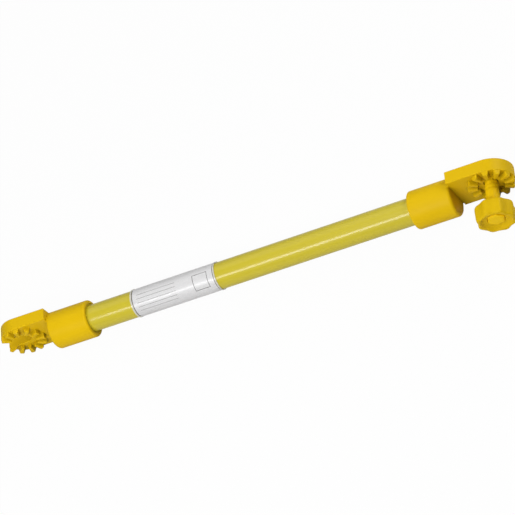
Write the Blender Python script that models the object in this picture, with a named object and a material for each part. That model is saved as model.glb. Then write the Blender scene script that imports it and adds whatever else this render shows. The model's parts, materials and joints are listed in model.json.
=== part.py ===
"""Insulating rod with a toothed coupling head at each end.

Metres, +Z up. The rod lies along X with the clamp screw at +X. The toothed faces look
along -Y, and the rod rests on the flat sides of its two tongues.
"""

import math

import bmesh
import bpy
from mathutils import Matrix, Vector

# Clearance between pieces that touch
FIT_GAP = 0.0003
FILM_GAP = 0.0002

# How finely curves are drawn
SHARP_EDGE_ANGLE = math.radians(32)
MERGE_DISTANCE = 0.0000001
ROUNDING_STEPS = 4
SHOULDER_STEPS = 6

# Tube and its foam core
TUBE_DIAMETER = 0.0200
TUBE_WALL = 0.0025
EXPOSED_TUBE_LENGTH = 0.2625
TUBE_STEPS = 48

# Sleeve of a head, which the tube is bonded into
SLEEVE_DIAMETER = 0.0282
SLEEVE_LENGTH = 0.0327
SLEEVE_FLOOR = 0.0032
SLEEVE_MOUTH_CHAMFER = 0.0009
SLEEVE_EDGE_ROUND = 0.0012
SLEEVE_STEPS = 60

# Seal in the mouth of the sleeve
MOUTH_SEAL_LENGTH = 0.0024
MOUTH_SEAL_WALL = 0.0016
MOUTH_SEAL_RECESS = 0.0004

# Plug that closes the tube inside the sleeve
PLUG_FLANGE_THICKNESS = 0.0025
PLUG_SPIGOT_LENGTH = 0.0110
PLUG_RING_CORD = 0.0018
PLUG_RING_STEPS = 10

# Tongue that carries the teeth
TONGUE_WIDTH = 0.0345
TONGUE_BACK = 0.0116
FACE_OFFSET = 0.0018
SCREW_AXIS_DISTANCE = 0.0270
TONGUE_EDGE_ROUND = 0.0008
TONGUE_OVERLAP = 0.0003
ARC_STEPS = 30

# Ring of teeth on the face
TOOTH_COUNT = 12
TOOTH_HEIGHT = 0.0034
TOOTH_RING_INNER_RADIUS = 0.0097
TOOTH_RIM_INSET = 0.0003
TOOTH_ROOT_ANGLE = math.radians(18.4)
TOOTH_TIP_ANGLE = math.radians(11.2)
TOOTH_TIP_ROUND = 0.0004

# Clamp screw
THREAD_DIAMETER = 0.0093
THREAD_PITCH = 0.0030
OPENING_TURNS = 1
NECK_DIAMETER = 0.0098
NECK_START = 0.0070
HEX_ACROSS_FLATS = 0.0120
HEX_HEIGHT = 0.0048
SCREW_TIP_LENGTH = 0.0012
SCREW_STEPS = 40

# Retaining ring on the end of the screw
RING_THICKNESS = 0.0011
RING_OUTER_DIAMETER = 0.0140
RING_GROOVE_DEPTH = 0.0009
RING_GAP_ANGLE = math.radians(64)

# Threaded insert in the back of the clamp head
INSERT_BODY_DIAMETER = 0.0136
INSERT_FLANGE_DIAMETER = 0.0172
INSERT_FLANGE_THICKNESS = 0.0015
INSERT_LENGTH = 0.0058

# Star knob, measured outward from the face of the clamp head
KNOB_UNDERSIDE = 0.0185
KNOB_HEIGHT = 0.0138
KNOB_DIAMETER = 0.0278
KNOB_LOBE_COUNT = 8
KNOB_LOBE_DEPTH = 0.0007
KNOB_LOBE_TURN = math.radians(10)
KNOB_SHOULDER_WIDTH = 0.0038
KNOB_SHOULDER_HEIGHT = 0.0043
KNOB_HUB_FILLET = 0.0014
KNOB_RIM_WIDTH = 0.0024
KNOB_RIM_ROUND = 0.0014
KNOB_WALL_TAPER = 0.0002
KNOB_DISH_DEPTH = 0.0050
KNOB_DISH_WALL_SLOPE = 0.0018
KNOB_HEX_POCKET_DEPTH = 0.0016
KNOB_STEPS = 96

# Slot in the socket head
SLOT_WIDTH = 0.0108
SLOT_BACK_CHAMFER = 0.0022

# Label and the clear film over it
FILM_THICKNESS = 0.00015
LABEL_START = -0.0930
LABEL_LENGTH = 0.0675
LABEL_WRAP = math.radians(286)
LAMINATE_MARGIN = 0.0012
LABEL_MIDDLE_ANGLE = math.radians(-148)

# Measures that follow from the sizes above
TUBE_RADIUS = TUBE_DIAMETER / 2
TUBE_BORE_RADIUS = TUBE_RADIUS - TUBE_WALL
PLUG_GROOVE_RADIUS = TUBE_BORE_RADIUS - PLUG_RING_CORD - 2 * FIT_GAP
BORE_RADIUS = TUBE_RADIUS + FIT_GAP
SLEEVE_RADIUS = SLEEVE_DIAMETER / 2
TONGUE_RADIUS = TONGUE_WIDTH / 2
TUBE_END_GAP = SLEEVE_FLOOR + FIT_GAP + PLUG_FLANGE_THICKNESS + FIT_GAP
TUBE_INSERTION = SLEEVE_LENGTH - TUBE_END_GAP
TUBE_LENGTH = EXPOSED_TUBE_LENGTH + 2 * TUBE_INSERTION
SLEEVE_END_X = EXPOSED_TUBE_LENGTH / 2 + SLEEVE_LENGTH
SCREW_AXIS_X = SLEEVE_END_X + SCREW_AXIS_DISTANCE
TOOTH_PITCH = 2 * math.pi / TOOTH_COUNT
KNOB_RIM = KNOB_UNDERSIDE + KNOB_HEIGHT
KNOB_DISH_FLOOR = KNOB_RIM - KNOB_DISH_DEPTH
FACE_TO_BACK = FACE_OFFSET - TONGUE_BACK
OPENING_TRAVEL = OPENING_TURNS * THREAD_PITCH
RING_NEAR = FACE_TO_BACK - OPENING_TRAVEL - FIT_GAP
RING_FAR = RING_NEAR - RING_THICKNESS
SCREW_END = RING_FAR - FIT_GAP - SCREW_TIP_LENGTH
REACH_FRONT = KNOB_RIM - FACE_OFFSET
REACH_BACK = max(SLEEVE_RADIUS, -(SCREW_END - FACE_OFFSET))
SOCKET_TIP_REACH = math.sqrt(TONGUE_RADIUS ** 2 - (SLOT_WIDTH / 2) ** 2)
ROD_AXIS = Vector((
    (SOCKET_TIP_REACH - TONGUE_RADIUS) / 2,
    (REACH_FRONT - REACH_BACK) / 2,
    TONGUE_RADIUS,
))

# Colours read from the photograph, with roughness and metallic value
FINISHES = {
    "moulded_yellow": ((0.77, 0.50, 0.010), 0.42, 0.0),
    "glass_fibre_yellow": ((0.60, 0.50, 0.054), 0.30, 0.0),
    "foam": ((0.80, 0.76, 0.60), 0.95, 0.0),
    "rubber": ((0.020, 0.020, 0.020), 0.80, 0.0),
    "brass": ((0.62, 0.42, 0.13), 0.32, 1.0),
    "spring_steel": ((0.36, 0.36, 0.38), 0.35, 1.0),
    "silver_film": ((0.68, 0.68, 0.67), 0.30, 0.35),
    "clear_film": ((0.86, 0.86, 0.82), 0.12, 0.0),
}


def clear_scene():
    """Remove whatever the scene already holds."""
    for item in list(bpy.data.objects):
        bpy.data.objects.remove(item, do_unlink=True)


def finish_material(name, finish):
    """Give a sub-part its own material with a named finish."""
    colour, roughness, metallic = FINISHES[finish]
    material = bpy.data.materials.new(name)
    material.use_nodes = True
    shader = material.node_tree.nodes["Principled BSDF"]
    shader.inputs["Base Color"].default_value = (*colour, 1)
    shader.inputs["Roughness"].default_value = roughness
    shader.inputs["Metallic"].default_value = metallic
    return material


def make_object(name, shape, parent, finish):
    """Turn a bmesh into a named object under its empty, shaded smooth with sharp edges."""
    bmesh.ops.recalc_face_normals(shape, faces=shape.faces)
    mesh = bpy.data.meshes.new(name)
    shape.to_mesh(mesh)
    shape.free()
    mesh.shade_smooth()
    mesh.set_sharp_from_angle(angle=SHARP_EDGE_ANGLE)
    mesh.materials.append(finish_material(name, finish))
    item = bpy.data.objects.new(name, mesh)
    item.parent = parent
    bpy.context.collection.objects.link(item)
    return item


def make_tool(name, shape, parent):
    """Make a guide body that only joins or cuts another one."""
    tool = make_object(name, shape, parent, "moulded_yellow")
    tool.hide_render = True
    tool.display_type = "WIRE"
    return tool


def make_empty(name, location, rotation=Matrix.Identity(4)):
    """Make an empty that carries the pieces of one axis or one head."""
    empty = bpy.data.objects.new(name, None)
    empty.empty_display_size = TONGUE_WIDTH / 2
    empty.matrix_world = Matrix.Translation(location) @ rotation
    bpy.context.collection.objects.link(empty)
    return empty


def combine(item, tool, operation):
    """Join or cut one body with another."""
    modifier = item.modifiers.new(f"{operation.lower()} {tool.name}", "BOOLEAN")
    modifier.operation = operation
    modifier.solver = "EXACT"
    modifier.object = tool


def arc(centre_x, centre_y, radius_x, radius_y, start, end, steps):
    """Points along an arc or a quarter of an ellipse, both ends included."""
    points = []
    for index in range(steps + 1):
        angle = start + (end - start) * index / steps
        points.append((centre_x + radius_x * math.cos(angle), centre_y + radius_y * math.sin(angle)))
    return points


def turned(profile, steps, sweep=2 * math.pi, turn=0.0):
    """Spin a closed profile of (radius, height) points about Z."""
    shape = bmesh.new()
    start = Matrix.Rotation(turn, 3, "Z")
    corners = [shape.verts.new(start @ Vector((radius, 0, height))) for radius, height in profile]
    on_axis = min(radius for radius, height in profile) <= 0
    edges = [shape.edges.new(pair) for pair in zip(corners, corners[1:])]
    if not on_axis:
        edges.append(shape.edges.new((corners[-1], corners[0])))
    whole = sweep >= 2 * math.pi
    section = corners + edges if whole else [shape.faces.new(corners)]
    bmesh.ops.spin(shape, geom=section, cent=(0, 0, 0), axis=(0, 0, 1), angle=sweep, steps=steps)
    bmesh.ops.remove_doubles(shape, verts=shape.verts, dist=MERGE_DISTANCE)
    return shape


def prism(outline, near, far, rounding=0.0, segments=2):
    """Extrude an outline of (x, z) points along Y, and round its edge on the far side."""
    shape = bmesh.new()
    corners = [shape.verts.new((x, near, z)) for x, z in outline]
    base = shape.faces.new(corners)
    grown = bmesh.ops.extrude_face_region(shape, geom=[base])["geom"]
    far_corners = [part for part in grown if isinstance(part, bmesh.types.BMVert)]
    bmesh.ops.translate(shape, verts=far_corners, vec=(0, far - near, 0))
    if rounding:
        rim = [edge for edge in shape.edges if all(corner in far_corners for corner in edge.verts)]
        bmesh.ops.bevel(shape, geom=rim, offset=rounding, segments=segments, profile=0.5, affect="EDGES")
    return shape


def loft(rings, capped=False):
    """Skin a series of rings, capped at both ends or with the last joined to the first."""
    shape = bmesh.new()
    rows = [[shape.verts.new(point) for point in ring] for ring in rings]
    followers = rows[1:] if capped else rows[1:] + rows[:1]
    if capped:
        shape.faces.new(rows[0])
        shape.faces.new(rows[-1])
    for row, following in zip(rows, followers):
        count = len(row)
        for index in range(count):
            after = (index + 1) % count
            shape.faces.new((row[index], row[after], following[after], following[index]))
    return shape


def tongue_outline():
    """Flat sides from the sleeve, closed by the round end about the screw's axis."""
    quarter = math.pi / 2
    round_end = arc(SCREW_AXIS_DISTANCE, 0, TONGUE_RADIUS, TONGUE_RADIUS, -quarter, quarter, ARC_STEPS)
    start = -TONGUE_OVERLAP
    return [(start, -TONGUE_RADIUS)] + round_end + [(start, TONGUE_RADIUS)]


def sleeve_stations():
    """Sleeve from its end face to its mouth and back down the bore.

    Each station is (distance from the end face, radius, how far the free front edge draws in).
    """
    mouth = -SLEEVE_LENGTH
    seat_radius = BORE_RADIUS + MOUTH_SEAL_WALL + FIT_GAP
    seat_depth = mouth + MOUTH_SEAL_RECESS + MOUTH_SEAL_LENGTH + FIT_GAP
    size = SLEEVE_EDGE_ROUND
    rounding = arc(0, -size, size, size, math.pi / 2, 0, ROUNDING_STEPS)
    stations = [(height, SLEEVE_RADIUS, size - reach) for reach, height in rounding]
    outside = [
        (mouth + SLEEVE_MOUTH_CHAMFER, SLEEVE_RADIUS),
        (mouth, SLEEVE_RADIUS - SLEEVE_MOUTH_CHAMFER),
    ]
    inside = [
        (mouth, seat_radius),
        (seat_depth, seat_radius),
        (seat_depth, BORE_RADIUS),
        (-SLEEVE_FLOOR, BORE_RADIUS),
    ]
    return stations + [(height, radius, 0) for height, radius in outside + inside]


def sleeve_shape():
    """Sleeve about the rod's own axis, its end edge rounded where it stands free of the tongue."""
    rings = []
    for height, radius, draw_in in sleeve_stations():
        ring = []
        for index in range(SLEEVE_STEPS):
            angle = 2 * math.pi * (index + 0.5) / SLEEVE_STEPS
            free = radius * math.cos(angle) < FACE_OFFSET
            reach = radius - draw_in if free else radius
            ring.append(Vector((height, reach * math.cos(angle), reach * math.sin(angle))))
        rings.append(ring)
    return loft(rings, capped=True)


def tooth_ring_shape():
    """Twelve trapezoid teeth whose flanks point at the screw's axis.

    The three-quarter pitch offset puts a tooth opposite a gap when two like heads meet in line.
    """
    shape = bmesh.new()
    outer_radius = TONGUE_RADIUS - TOOTH_RIM_INSET
    root = FACE_OFFSET + TONGUE_EDGE_ROUND
    tip = FACE_OFFSET - TOOTH_HEIGHT
    slope = (TOOTH_ROOT_ANGLE - TOOTH_TIP_ANGLE) / 2 / TOOTH_HEIGHT
    buried_half = TOOTH_ROOT_ANGLE / 2 + slope * (root - FACE_OFFSET)
    for number in range(TOOTH_COUNT):
        middle = (number + 0.75) * TOOTH_PITCH
        add_tooth(shape, middle, outer_radius, (root, buried_half), (tip, TOOTH_TIP_ANGLE / 2))
    return shape


def add_tooth(shape, middle, outer_radius, root, tip):
    """One tooth from its inner end to its curved outer end."""
    sections = []
    for height, half in (root, tip):
        inner = [(TOOTH_RING_INNER_RADIUS, middle + half), (TOOTH_RING_INNER_RADIUS, middle - half)]
        outer = [(outer_radius, middle - half), (outer_radius, middle), (outer_radius, middle + half)]
        sections.append([polar_corner(shape, radius, angle, height) for radius, angle in inner + outer])
    lower, upper = sections
    shape.faces.new(lower)
    crown = shape.faces.new(upper)
    count = len(lower)
    for index in range(count):
        after = (index + 1) % count
        shape.faces.new((lower[index], lower[after], upper[after], upper[index]))
    crest = list(crown.edges)
    bmesh.ops.bevel(shape, geom=crest, offset=TOOTH_TIP_ROUND, segments=1, profile=0.5, affect="EDGES")


def polar_corner(shape, radius, angle, height):
    """A corner at a radius and an angle about the screw's axis, in the head's own frame."""
    x = SCREW_AXIS_DISTANCE + radius * math.cos(angle)
    z = radius * math.sin(angle)
    return shape.verts.new((x, height, z))


def head_body(name, frame, cutters):
    """The moulding both heads share: tongue, sleeve and ring of teeth.

    The tongue and the teeth are cut before they are joined.
    """
    plate = prism(tongue_outline(), FACE_OFFSET, TONGUE_BACK, TONGUE_EDGE_ROUND)
    head = make_object(name, plate, frame, "moulded_yellow")
    teeth = make_tool(f"{name} teeth", tooth_ring_shape(), frame)
    for cutter in cutters:
        combine(head, cutter, "DIFFERENCE")
        combine(teeth, cutter, "DIFFERENCE")
    combine(head, make_tool(f"{name} sleeve", sleeve_shape(), frame), "UNION")
    combine(head, teeth, "UNION")
    return head


def slot_outline(half_width):
    """Open slot from past the end of the tongue to a round bottom about the screw's axis."""
    open_end = SCREW_AXIS_DISTANCE + 2 * TONGUE_RADIUS
    quarter = math.pi / 2
    bottom = arc(SCREW_AXIS_DISTANCE, 0, half_width, half_width, quarter, 3 * quarter, ARC_STEPS // 2)
    return [(open_end, half_width)] + bottom + [(open_end, -half_width)]


def slot_chamfer_shape():
    """Flared cutter that opens the slot toward the back of the tongue."""
    shape = bmesh.new()
    beyond = SLOT_BACK_CHAMFER / 2
    narrow = SLOT_WIDTH / 2
    stations = [
        (TONGUE_BACK - SLOT_BACK_CHAMFER, narrow),
        (TONGUE_BACK + beyond, narrow + SLOT_BACK_CHAMFER + beyond),
    ]
    rows = []
    for height, half_width in stations:
        rows.append([shape.verts.new((x, height, z)) for x, z in slot_outline(half_width)])
    for row in rows:
        shape.faces.new(row)
    lower, upper = rows
    for index in range(len(lower)):
        after = (index + 1) % len(lower)
        shape.faces.new((lower[index], lower[after], upper[after], upper[index]))
    return shape


def socket_head(frame):
    """Head whose open slot slips over the screw of the next rod."""
    margin = TOOTH_HEIGHT
    slot = prism(slot_outline(SLOT_WIDTH / 2), FACE_OFFSET - TOOTH_HEIGHT - margin, TONGUE_BACK + margin)
    slot_cutter = make_tool("slot cutter", slot, frame)
    chamfer_cutter = make_tool("slot chamfer cutter", slot_chamfer_shape(), frame)
    return head_body("socket_head", frame, (slot_cutter, chamfer_cutter))


def screw_hole_shape():
    """Stepped hole: screw clearance in front, seat of the threaded insert behind."""
    beyond = TOOTH_HEIGHT
    hole = THREAD_DIAMETER / 2 + FIT_GAP + FIT_GAP / 2
    seat = INSERT_BODY_DIAMETER / 2 + FIT_GAP
    flange_seat = INSERT_FLANGE_DIAMETER / 2 + FIT_GAP
    seat_height = FACE_TO_BACK + INSERT_LENGTH + FIT_GAP
    flange_height = FACE_TO_BACK + INSERT_FLANGE_THICKNESS + FIT_GAP
    profile = [
        (0, beyond),
        (hole, beyond),
        (hole, seat_height),
        (seat, seat_height),
        (seat, flange_height),
        (flange_seat, flange_height),
        (flange_seat, FACE_TO_BACK - beyond),
        (0, FACE_TO_BACK - beyond),
    ]
    return turned(profile, SCREW_STEPS)


def clamp_head(frame, screw_frame):
    """Head that carries the threaded insert and the clamp screw."""
    hole_cutter = make_tool("screw hole cutter", screw_hole_shape(), screw_frame)
    return head_body("clamp_head", frame, (hole_cutter,))


def thread_insert(frame):
    """Flanged bush moulded into the back of the tongue, which the screw runs in."""
    bore = THREAD_DIAMETER / 2 + FIT_GAP
    body = INSERT_BODY_DIAMETER / 2
    flange = INSERT_FLANGE_DIAMETER / 2
    lead = FIT_GAP
    profile = [
        (bore, FACE_TO_BACK + lead),
        (bore + lead, FACE_TO_BACK),
        (flange, FACE_TO_BACK),
        (flange, FACE_TO_BACK + INSERT_FLANGE_THICKNESS),
        (body, FACE_TO_BACK + INSERT_FLANGE_THICKNESS),
        (body, FACE_TO_BACK + INSERT_LENGTH),
        (bore, FACE_TO_BACK + INSERT_LENGTH),
    ]
    return make_object("thread_insert", turned(profile, SCREW_STEPS), frame, "brass")


def clamp_screw(frame):
    """Grooved tail, thread, plain neck and the hexagon head that sits in the knob."""
    thread = THREAD_DIAMETER / 2
    neck = NECK_DIAMETER / 2
    groove = thread - RING_GROOVE_DEPTH
    groove_near = RING_NEAR + FIT_GAP
    groove_far = RING_FAR - FIT_GAP
    lead = SCREW_TIP_LENGTH / 2
    head_floor = KNOB_DISH_FLOOR - KNOB_HEX_POCKET_DEPTH + FIT_GAP
    profile = [
        (0, SCREW_END),
        (thread - lead, SCREW_END),
        (thread, SCREW_END + lead),
        (thread, groove_far),
        (groove, groove_far),
        (groove, groove_near),
        (thread, groove_near),
        (thread, NECK_START),
        (neck, NECK_START + neck - thread),
        (neck, head_floor + lead),
        (0, head_floor + lead),
    ]
    screw = make_object("clamp_screw", turned(profile, SCREW_STEPS), frame, "moulded_yellow")
    head = hexagon_shape(HEX_ACROSS_FLATS / 2, head_floor, head_floor + HEX_HEIGHT, HEX_HEIGHT / 8)
    combine(screw, make_tool("screw head", head, frame), "UNION")
    return screw


def hexagon_shape(half_flat, near, far, chamfer):
    """Hexagon prism along Z, with its far edge chamfered."""
    shape = bmesh.new()
    corner_radius = half_flat / math.cos(math.pi / 6)
    corners = []
    for side in range(6):
        angle = math.pi / 3 * side + KNOB_LOBE_TURN
        x, y = corner_radius * math.cos(angle), corner_radius * math.sin(angle)
        corners.append(shape.verts.new((x, y, near)))
    base = shape.faces.new(corners)
    grown = bmesh.ops.extrude_face_region(shape, geom=[base])["geom"]
    far_corners = [part for part in grown if isinstance(part, bmesh.types.BMVert)]
    bmesh.ops.translate(shape, verts=far_corners, vec=(0, 0, far - near))
    if chamfer:
        rim = [edge for edge in shape.edges if all(corner in far_corners for corner in edge.verts)]
        bmesh.ops.bevel(shape, geom=rim, offset=chamfer, segments=2, profile=0.5, affect="EDGES")
    return shape


def retaining_ring(frame):
    """Open spring ring in the groove behind the head, which keeps the screw captive."""
    inner = THREAD_DIAMETER / 2 - RING_GROOVE_DEPTH + FIT_GAP
    outer = RING_OUTER_DIAMETER / 2
    profile = [(inner, RING_FAR), (outer, RING_FAR), (outer, RING_NEAR), (inner, RING_NEAR)]
    sweep = 2 * math.pi - RING_GAP_ANGLE
    shape = turned(profile, SCREW_STEPS, sweep, -math.pi / 2 + RING_GAP_ANGLE / 2)
    return make_object("retaining_ring", shape, frame, "spring_steel")


def knob_sections():
    """Closed section of the knob as (radius, height, share of the lobes)."""
    bore = NECK_DIAMETER / 2 + FIT_GAP
    radius = KNOB_DIAMETER / 2
    nose = bore + 2 * FIT_GAP
    nose_height = KNOB_UNDERSIDE - KNOB_HUB_FILLET
    shoulder_start = radius - KNOB_SHOULDER_WIDTH
    wall_start = KNOB_UNDERSIDE + KNOB_SHOULDER_HEIGHT
    wall_radius = radius - KNOB_WALL_TAPER
    rim_inner = radius - KNOB_RIM_WIDTH
    dish_foot = rim_inner - KNOB_DISH_WALL_SLOPE
    sections = [(bore, nose_height, 0)]
    quarter = math.pi / 2
    size = KNOB_HUB_FILLET
    fillet = arc(nose + size, nose_height, size, size, 2 * quarter, quarter, ROUNDING_STEPS)
    sections += [(r, h, 0) for r, h in fillet]
    wide, high = KNOB_SHOULDER_WIDTH, KNOB_SHOULDER_HEIGHT
    shoulder = arc(shoulder_start, wall_start, wide, high, -quarter, 0, SHOULDER_STEPS)
    for index, (r, h) in enumerate(shoulder):
        sections.append((r, h, math.sin(quarter * index / SHOULDER_STEPS)))
    size = KNOB_RIM_ROUND
    rim = arc(wall_radius - size, KNOB_RIM - size, size, size, 0, quarter, ROUNDING_STEPS)
    sections += [(r, h, 1) for r, h in rim]
    sections.append((rim_inner, KNOB_RIM, 0))
    sections.append((dish_foot + KNOB_RIM_ROUND / 2, KNOB_DISH_FLOOR + KNOB_RIM_ROUND, 0))
    sections.append((dish_foot - KNOB_RIM_ROUND / 2, KNOB_DISH_FLOOR, 0))
    sections.append((bore, KNOB_DISH_FLOOR, 0))
    return sections


def knob_ring(radius, height, share):
    """One ring of the knob, waved by its share of the lobes."""
    ring = []
    for index in range(KNOB_STEPS):
        angle = 2 * math.pi * index / KNOB_STEPS
        wave = math.cos(KNOB_LOBE_COUNT * (angle - KNOB_LOBE_TURN))
        reach = radius + share * KNOB_LOBE_DEPTH * wave
        ring.append(Vector((reach * math.cos(angle), reach * math.sin(angle), height)))
    return ring


def star_knob(frame):
    """Eight-lobed knob with a filleted hub toward the rod and a dished outer face."""
    shape = loft([knob_ring(*section) for section in knob_sections()])
    knob = make_object("star_knob", shape, frame, "moulded_yellow")
    pocket_floor = KNOB_DISH_FLOOR - KNOB_HEX_POCKET_DEPTH
    pocket_half = HEX_ACROSS_FLATS / 2 + FIT_GAP
    pocket = hexagon_shape(pocket_half, pocket_floor, KNOB_RIM, 0)
    combine(knob, make_tool("hexagon pocket cutter", pocket, frame), "DIFFERENCE")
    return knob


def tube(frame):
    """Pultruded tube that runs from plug to plug."""
    inner = TUBE_BORE_RADIUS
    half = TUBE_LENGTH / 2
    profile = [(inner, -half), (TUBE_RADIUS, -half), (TUBE_RADIUS, half), (inner, half)]
    return make_object("tube", turned(profile, TUBE_STEPS), frame, "glass_fibre_yellow")


def foam_core(frame):
    """Closed-cell foam that fills the tube between its plugs."""
    radius = TUBE_BORE_RADIUS - FIT_GAP
    half = TUBE_LENGTH / 2 - PLUG_SPIGOT_LENGTH
    profile = [(0, -half), (radius, -half), (radius, half), (0, half)]
    return make_object("foam_core", turned(profile, TUBE_STEPS // 2), frame, "foam")


def plug_groove():
    """Middle and half width of the groove for the plug's ring, from the tube's end inward."""
    middle = PLUG_SPIGOT_LENGTH / 2
    return middle, PLUG_RING_CORD / 2 + FIT_GAP


def end_plug(side, frame):
    """Plug with a flange over the tube's end and a grooved spigot inside it."""
    spigot = TUBE_BORE_RADIUS - FIT_GAP
    middle, half_groove = plug_groove()
    flange_face = FIT_GAP
    tip = -PLUG_SPIGOT_LENGTH + FIT_GAP
    lead = FIT_GAP
    profile = [
        (0, flange_face + PLUG_FLANGE_THICKNESS),
        (TUBE_RADIUS, flange_face + PLUG_FLANGE_THICKNESS),
        (TUBE_RADIUS, flange_face),
        (spigot, flange_face),
        (spigot, -middle + half_groove),
        (PLUG_GROOVE_RADIUS, -middle + half_groove),
        (PLUG_GROOVE_RADIUS, -middle - half_groove),
        (spigot, -middle - half_groove),
        (spigot, tip + lead),
        (spigot - lead, tip),
        (0, tip),
    ]
    return make_object(f"end_plug_{side}", turned(profile, TUBE_STEPS // 2), frame, "moulded_yellow")


def plug_ring(side, frame):
    """Rubber ring between the bottom of the plug's groove and the tube's wall."""
    middle, half_groove = plug_groove()
    cord = PLUG_RING_CORD / 2
    centre = PLUG_GROOVE_RADIUS + FIT_GAP + cord
    section = arc(centre, -middle, cord, cord, 0, 2 * math.pi, PLUG_RING_STEPS)[:-1]
    return make_object(f"plug_ring_{side}", turned(section, TUBE_STEPS // 2), frame, "rubber")


def mouth_seal(side, frame):
    """Lip ring between the sleeve's mouth and the tube."""
    inner = TUBE_RADIUS + FIT_GAP
    outer = inner + MOUTH_SEAL_WALL
    near = -SLEEVE_LENGTH + MOUTH_SEAL_RECESS
    far = near + MOUTH_SEAL_LENGTH
    lip = MOUTH_SEAL_WALL / 4
    profile = [
        (inner, near + lip),
        (inner + lip, near),
        (outer - lip, near),
        (outer, near + lip),
        (outer, far),
        (inner, far),
    ]
    return make_object(f"mouth_seal_{side}", turned(profile, TUBE_STEPS), frame, "rubber")


def wrapped_film(name, frame, lift, margin, finish):
    """Thin film bent round the tube, grown on every side by a margin."""
    inner = TUBE_RADIUS + lift
    outer = inner + FILM_THICKNESS
    near = LABEL_START - margin
    far = LABEL_START + LABEL_LENGTH + margin
    wrap = LABEL_WRAP + 2 * margin / TUBE_RADIUS
    profile = [(inner, near), (outer, near), (outer, far), (inner, far)]
    shape = turned(profile, TUBE_STEPS, wrap, LABEL_MIDDLE_ANGLE - wrap / 2)
    return make_object(name, shape, frame, finish)


def build_rod():
    """Place the axes, then every sub-part on its own axis."""
    along_rod = Matrix.Rotation(math.pi / 2, 4, "Y")
    along_screw = Matrix.Rotation(math.pi / 2, 4, "X")
    end_for_end = Matrix.Rotation(math.pi, 4, "Y")
    rod = make_empty("rod_axis", ROD_AXIS, along_rod)
    clamp_frame = make_empty("clamp_head_frame", ROD_AXIS + Vector((SLEEVE_END_X, 0, 0)))
    socket_frame = make_empty("socket_head_frame", ROD_AXIS - Vector((SLEEVE_END_X, 0, 0)), end_for_end)
    screw = make_empty("screw_axis", ROD_AXIS + Vector((SCREW_AXIS_X, FACE_OFFSET, 0)), along_screw)
    tube(rod)
    foam_core(rod)
    clamp_head(clamp_frame, screw)
    socket_head(socket_frame)
    for side, direction in (("left", -1), ("right", 1)):
        outward = along_rod if direction > 0 else end_for_end @ along_rod
        sleeve_end = ROD_AXIS + Vector((direction * SLEEVE_END_X, 0, 0))
        tube_end = ROD_AXIS + Vector((direction * TUBE_LENGTH / 2, 0, 0))
        sleeve_axis = make_empty(f"sleeve_axis_{side}", sleeve_end, outward)
        tube_end_axis = make_empty(f"tube_end_axis_{side}", tube_end, outward)
        mouth_seal(side, sleeve_axis)
        end_plug(side, tube_end_axis)
        plug_ring(side, tube_end_axis)
    wrapped_film("label_film", rod, FILM_GAP, 0, "silver_film")
    wrapped_film("label_laminate", rod, 2 * FILM_GAP + FILM_THICKNESS, LAMINATE_MARGIN, "clear_film")
    thread_insert(screw)
    retaining_ring(screw)
    clamp_screw(screw)
    star_knob(screw)


clear_scene()
build_rod()
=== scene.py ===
import json
import math

import bmesh
import bpy
from mathutils import Matrix, Vector


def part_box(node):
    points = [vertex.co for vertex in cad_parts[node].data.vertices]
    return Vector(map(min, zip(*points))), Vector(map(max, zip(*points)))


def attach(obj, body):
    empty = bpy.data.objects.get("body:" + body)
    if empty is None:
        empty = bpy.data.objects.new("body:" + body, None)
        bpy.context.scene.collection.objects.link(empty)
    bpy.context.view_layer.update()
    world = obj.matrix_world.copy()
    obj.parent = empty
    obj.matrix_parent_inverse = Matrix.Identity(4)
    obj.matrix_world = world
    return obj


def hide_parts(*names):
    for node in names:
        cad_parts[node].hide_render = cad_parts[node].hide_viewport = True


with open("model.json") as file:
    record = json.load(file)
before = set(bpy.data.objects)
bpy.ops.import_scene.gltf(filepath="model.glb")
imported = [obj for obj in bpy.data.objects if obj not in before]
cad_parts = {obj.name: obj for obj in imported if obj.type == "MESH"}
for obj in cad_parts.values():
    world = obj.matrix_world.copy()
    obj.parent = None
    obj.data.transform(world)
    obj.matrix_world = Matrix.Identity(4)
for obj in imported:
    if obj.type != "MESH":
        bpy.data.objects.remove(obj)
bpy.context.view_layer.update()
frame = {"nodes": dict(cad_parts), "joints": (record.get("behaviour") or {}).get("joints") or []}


# Camera
# The photograph was taken through a long lens, from above and a little from the right. The
# camera is rolled, so that the rod climbs to the right across the whole width of the picture.
tube_low, tube_high = (Vector(corner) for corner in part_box("tube"))
rod_middle = (tube_low + tube_high) / 2
camera_from_rod = Vector((0.76427, -1.02301, 1.61690))
view_direction = Vector((-0.36776, 0.49878, -0.78484))
camera_roll = math.radians(-48.597)
focal_length_in_widths = 5.548

camera_data = bpy.data.cameras.new("camera")
camera_data.sensor_width = 36
camera_data.lens = focal_length_in_widths * camera_data.sensor_width
camera_data.clip_start = 0.01
camera = bpy.data.objects.new("camera", camera_data)
level = view_direction.to_track_quat("-Z", "Y").to_matrix().to_4x4()
rolled = level @ Matrix.Rotation(camera_roll, 4, "Z")
camera.matrix_world = Matrix.Translation(rod_middle + camera_from_rod) @ rolled
bpy.context.collection.objects.link(camera)
bpy.context.scene.camera = camera
bpy.context.scene.view_settings.view_transform = "Standard"


# Floor and light
# A white floor under one long soft box, which hangs above the rod and in front of it and draws
# the streak along the tube. Weaker ones fill in from above, from behind and from the right.
white = (1, 1, 1, 1)
floor_grey = (0.65, 0.65, 0.65, 1)
floor_width = 4.0
floor_shown_white = 0.97
sky_strength = 0.10
sky_white_in_gloss = 0.4


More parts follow.
